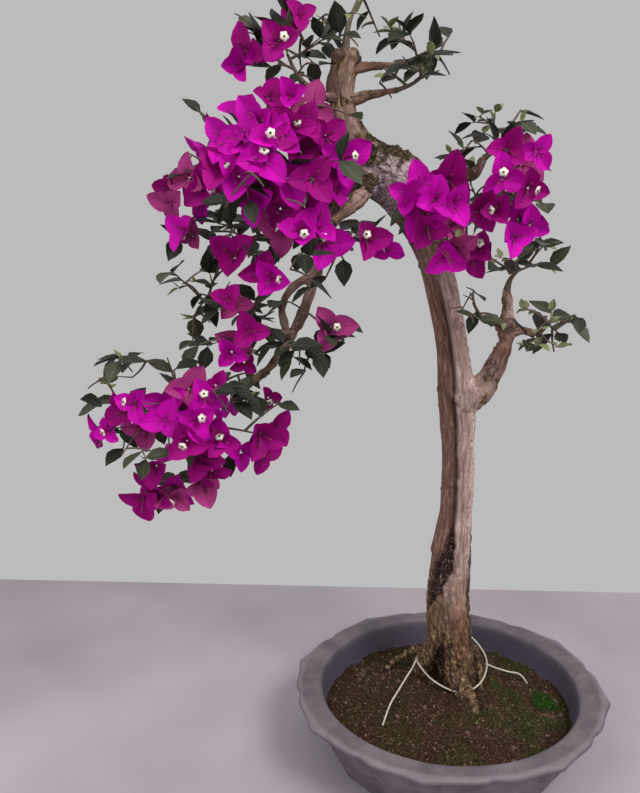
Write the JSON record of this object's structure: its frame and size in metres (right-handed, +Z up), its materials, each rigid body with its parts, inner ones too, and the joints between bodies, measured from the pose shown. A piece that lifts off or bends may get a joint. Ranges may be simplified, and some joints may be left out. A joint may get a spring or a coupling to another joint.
{
  "type": "potted bougainvillea bonsai tree",
  "caption": "Leaning semi-cascade flowering bonsai with a grooved trunk, papery three-part blossoms and small leaves, in an oval lobed clay pot.",
  "frame": {"origin": "centre of the pot's flat underside", "axes": "+Z up, +X along the pot's long side, -Y towards the side the tree is viewed from"},
  "size_m": [0.4865, 0.2514, 0.7062],
  "materials": {
    "unglazed_clay": "matt unglazed grey-purple stoneware",
    "mossy_soil": "dark damp soil with moss and fine roots",
    "trunk_bark": "pinkish grey bark, ridged and flaking",
    "bough_bark": "grey-brown bark with knots",
    "blossom_and_leaf": "papery magenta bracts and dark green leaves"
  },
  "bodies": {
    "root": {"pot": "unglazed_clay", "soil": "mossy_soil", "trunk": "trunk_bark", "bough_right_upper": "bough_bark", "bough_right_low": "bough_bark", "bough_right_fork": "bough_bark", "bough_right_inner": "bough_bark", "bough_cascade": "bough_bark", "bough_cascade_fork": "bough_bark", "bough_cascade_spur": "bough_bark", "bough_shoulder": "bough_bark", "bough_shoulder_low": "bough_bark", "bough_back": "bough_bark", "bough_apex_right": "bough_bark", "bough_apex_low": "bough_bark", "bough_apex_left": "bough_bark", "foliage_apex_left": "blossom_and_leaf", "foliage_apex_top": "blossom_and_leaf", "foliage_apex_right": "blossom_and_leaf", "foliage_apex_low": "blossom_and_leaf", "foliage_shoulder": "blossom_and_leaf", "foliage_back": "blossom_and_leaf", "foliage_shoulder_low": "blossom_and_leaf", "foliage_cascade_left": "blossom_and_leaf", "foliage_cascade_inner": "blossom_and_leaf", "foliage_cascade_tip": "blossom_and_leaf", "foliage_right_front": "blossom_and_leaf", "foliage_right_upper": "blossom_and_leaf", "foliage_right_low": "blossom_and_leaf", "foliage_right_fork": "blossom_and_leaf", "foliage_right_inner": "blossom_and_leaf"}
  },
  "joints": []
}
